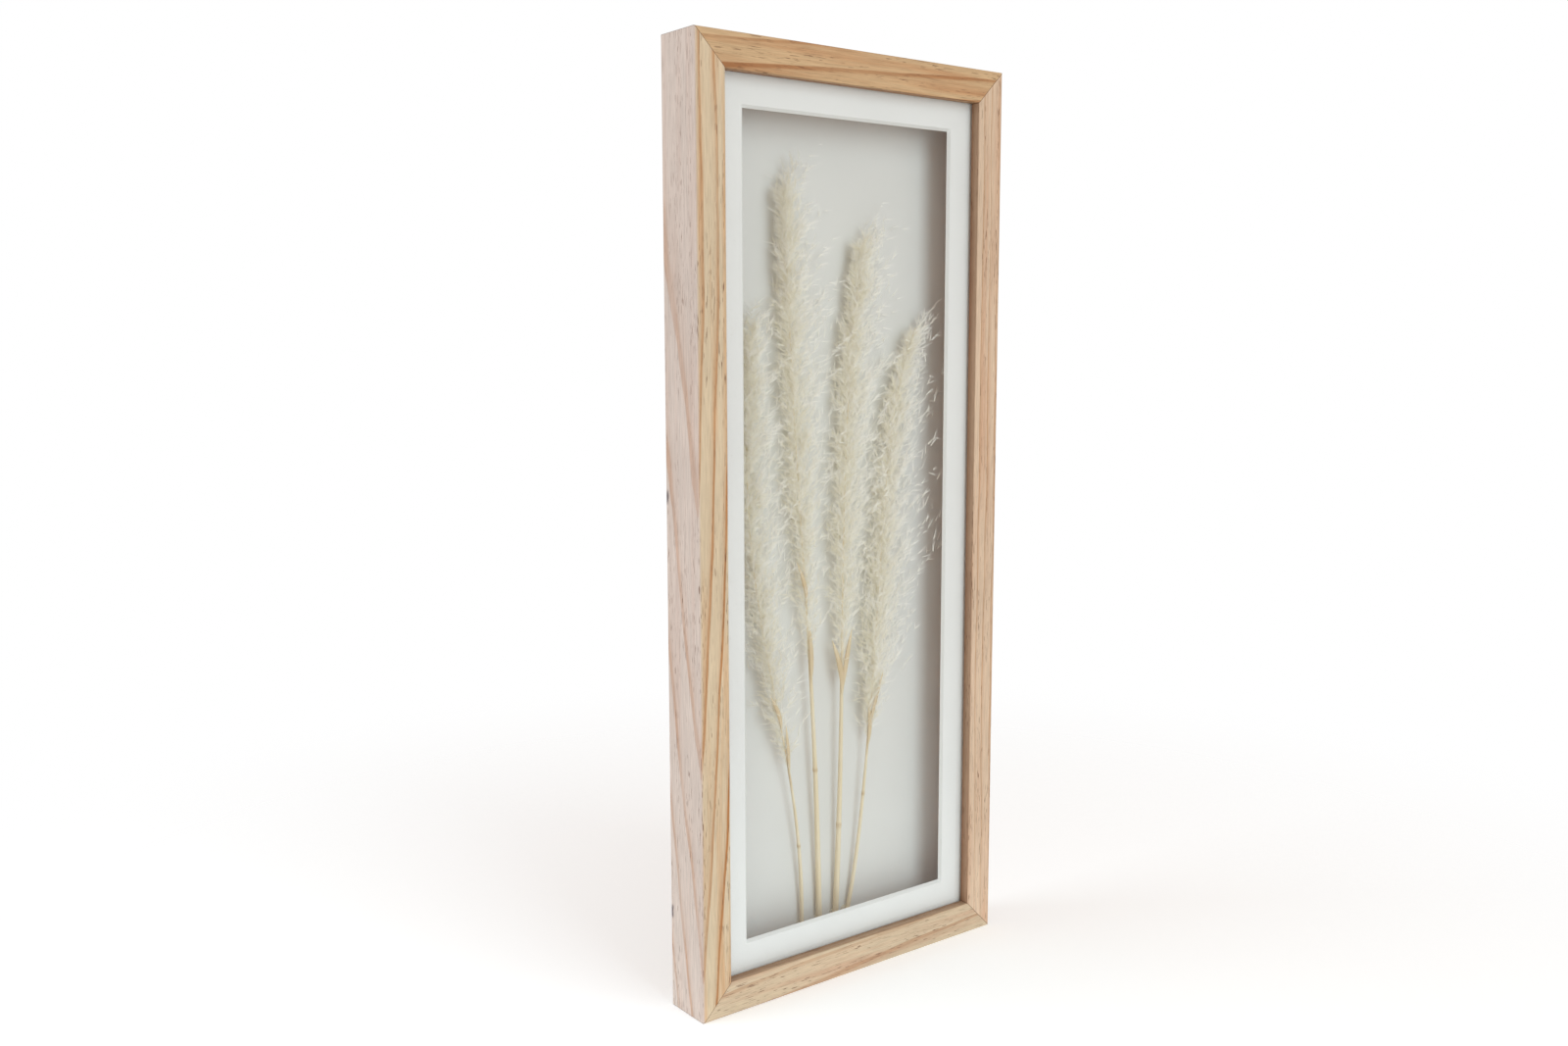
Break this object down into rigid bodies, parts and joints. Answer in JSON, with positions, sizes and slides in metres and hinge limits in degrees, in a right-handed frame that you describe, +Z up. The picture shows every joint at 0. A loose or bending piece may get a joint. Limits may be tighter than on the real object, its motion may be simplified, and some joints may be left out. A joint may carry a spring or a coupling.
{
  "type": "box frame",
  "caption": "Deep mitred pine box frame with a glazed front, a white window mat and dried grass plumes on a pale backing.",
  "frame": {"origin": "middle of the footprint at the height of the bottom edge", "axes": "+Z up, -Y out of the glazed front, +Y towards the wall, +X to the right as seen from the front"},
  "size_m": [0.25, 0.0396, 0.6],
  "materials": {
    "pine": "clear satin, open straight grain along each rail",
    "clear_glass": "polished",
    "mat_board": "matt, fine tooth, white bevel",
    "backing_board": "matt",
    "spacer_wood": "sawn, bare",
    "fibreboard": "smooth pressed face",
    "straw": "dry, ribbed",
    "plume": "soft and feathery",
    "glue": "cloudy",
    "zinc_steel": "bright zinc plate",
    "nail_steel": "dull",
    "hanger_steel": "brass-coloured plate",
    "bumper_rubber": "frosted"
  },
  "bodies": {
    "frame": {"left_stile": "pine", "right_stile": "pine", "top_rail": "pine", "bottom_rail": "pine", "corner_v_nails": "nail_steel", "front_glass": "clear_glass", "window_mat": "mat_board", "spacer_left": "spacer_wood", "spacer_right": "spacer_wood", "spacer_top": "spacer_wood", "spacer_bottom": "spacer_wood", "mount_board": "backing_board", "back_panel": "fibreboard", "stem_1": "straw", "stem_2": "straw", "stem_3": "straw", "stem_4": "straw", "plume_1": "plume", "plume_2": "plume", "plume_3": "plume", "plume_4": "plume", "glue_dots": "glue", "button_screws": "zinc_steel", "sawtooth_hanger": "hanger_steel", "hanger_nails": "hanger_steel", "wall_bumpers": "bumper_rubber"},
    "turn_button_left_lower": {"turn_button_left_lower": "zinc_steel"},
    "turn_button_left_upper": {"turn_button_left_upper": "zinc_steel"},
    "turn_button_right_lower": {"turn_button_right_lower": "zinc_steel"},
    "turn_button_right_upper": {"turn_button_right_upper": "zinc_steel"},
    "turn_button_bottom_left": {"turn_button_bottom_left": "zinc_steel"},
    "turn_button_bottom_right": {"turn_button_bottom_right": "zinc_steel"},
    "turn_button_top_left": {"turn_button_top_left": "zinc_steel"},
    "turn_button_top_right": {"turn_button_top_right": "zinc_steel"}
  },
  "joints": [
    {"name": "left_lower_turn", "type": "hinge", "parent": "frame", "child": "turn_button_left_lower", "pos_m": [-0.11725, 0.0169, 0.16], "axis": [0, 1, 0], "range_deg": [-90, 90]},
    {"name": "left_upper_turn", "type": "hinge", "parent": "frame", "child": "turn_button_left_upper", "pos_m": [-0.11725, 0.0169, 0.44], "axis": [0, 1, 0], "range_deg": [-90, 90]},
    {"name": "right_lower_turn", "type": "hinge", "parent": "frame", "child": "turn_button_right_lower", "pos_m": [0.11725, 0.0169, 0.16], "axis": [0, 1, 0], "range_deg": [-90, 90]},
    {"name": "right_upper_turn", "type": "hinge", "parent": "frame", "child": "turn_button_right_upper", "pos_m": [0.11725, 0.0169, 0.44], "axis": [0, 1, 0], "range_deg": [-90, 90]},
    {"name": "bottom_left_turn", "type": "hinge", "parent": "frame", "child": "turn_button_bottom_left", "pos_m": [-0.06, 0.0169, 0.00775], "axis": [0, 1, 0], "range_deg": [-90, 90]},
    {"name": "bottom_right_turn", "type": "hinge", "parent": "frame", "child": "turn_button_bottom_right", "pos_m": [0.06, 0.0169, 0.00775], "axis": [0, 1, 0], "range_deg": [-90, 90]},
    {"name": "top_left_turn", "type": "hinge", "parent": "frame", "child": "turn_button_top_left", "pos_m": [-0.06, 0.0169, 0.59225], "axis": [0, 1, 0], "range_deg": [-90, 90]},
    {"name": "top_right_turn", "type": "hinge", "parent": "frame", "child": "turn_button_top_right", "pos_m": [0.06, 0.0169, 0.59225], "axis": [0, 1, 0], "range_deg": [-90, 90]}
  ]
}
